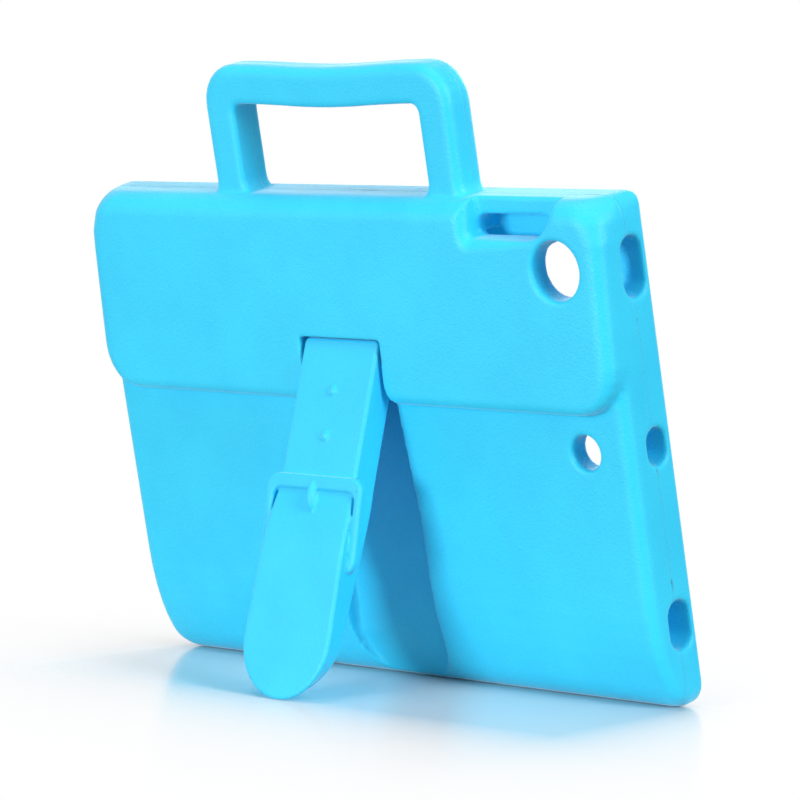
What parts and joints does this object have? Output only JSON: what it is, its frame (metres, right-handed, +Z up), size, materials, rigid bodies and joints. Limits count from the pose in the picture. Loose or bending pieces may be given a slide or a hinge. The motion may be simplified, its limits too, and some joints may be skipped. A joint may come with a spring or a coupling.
{
  "type": "kids tablet case",
  "caption": "Blue foam tablet case held in landscape, with a carry handle on top and a belt-shaped strap stand that folds into its back.",
  "frame": {"origin": "bottom centre of the whole object's box as it stands on its bottom edge and its open strap", "axes": "+X along the case towards its camera end, +Y towards the tablet's screen side, +Z up"},
  "size_m": [0.2266, 0.075, 0.2004],
  "materials": {
    "foam": "soft closed-cell foam with a fine matt grain",
    "pin_steel": "plain drawn steel"
  },
  "bodies": {
    "case": {"case_body": "foam", "hinge_pin": "pin_steel"},
    "kickstand": {"kickstand": "foam"}
  },
  "joints": [
    {"name": "kickstand_hinge", "type": "hinge", "parent": "case", "child": "kickstand", "pos_m": [0, -0.00221, 0.10608], "axis": [1, 0, 0], "range_deg": [0, 25.5]}
  ]
}
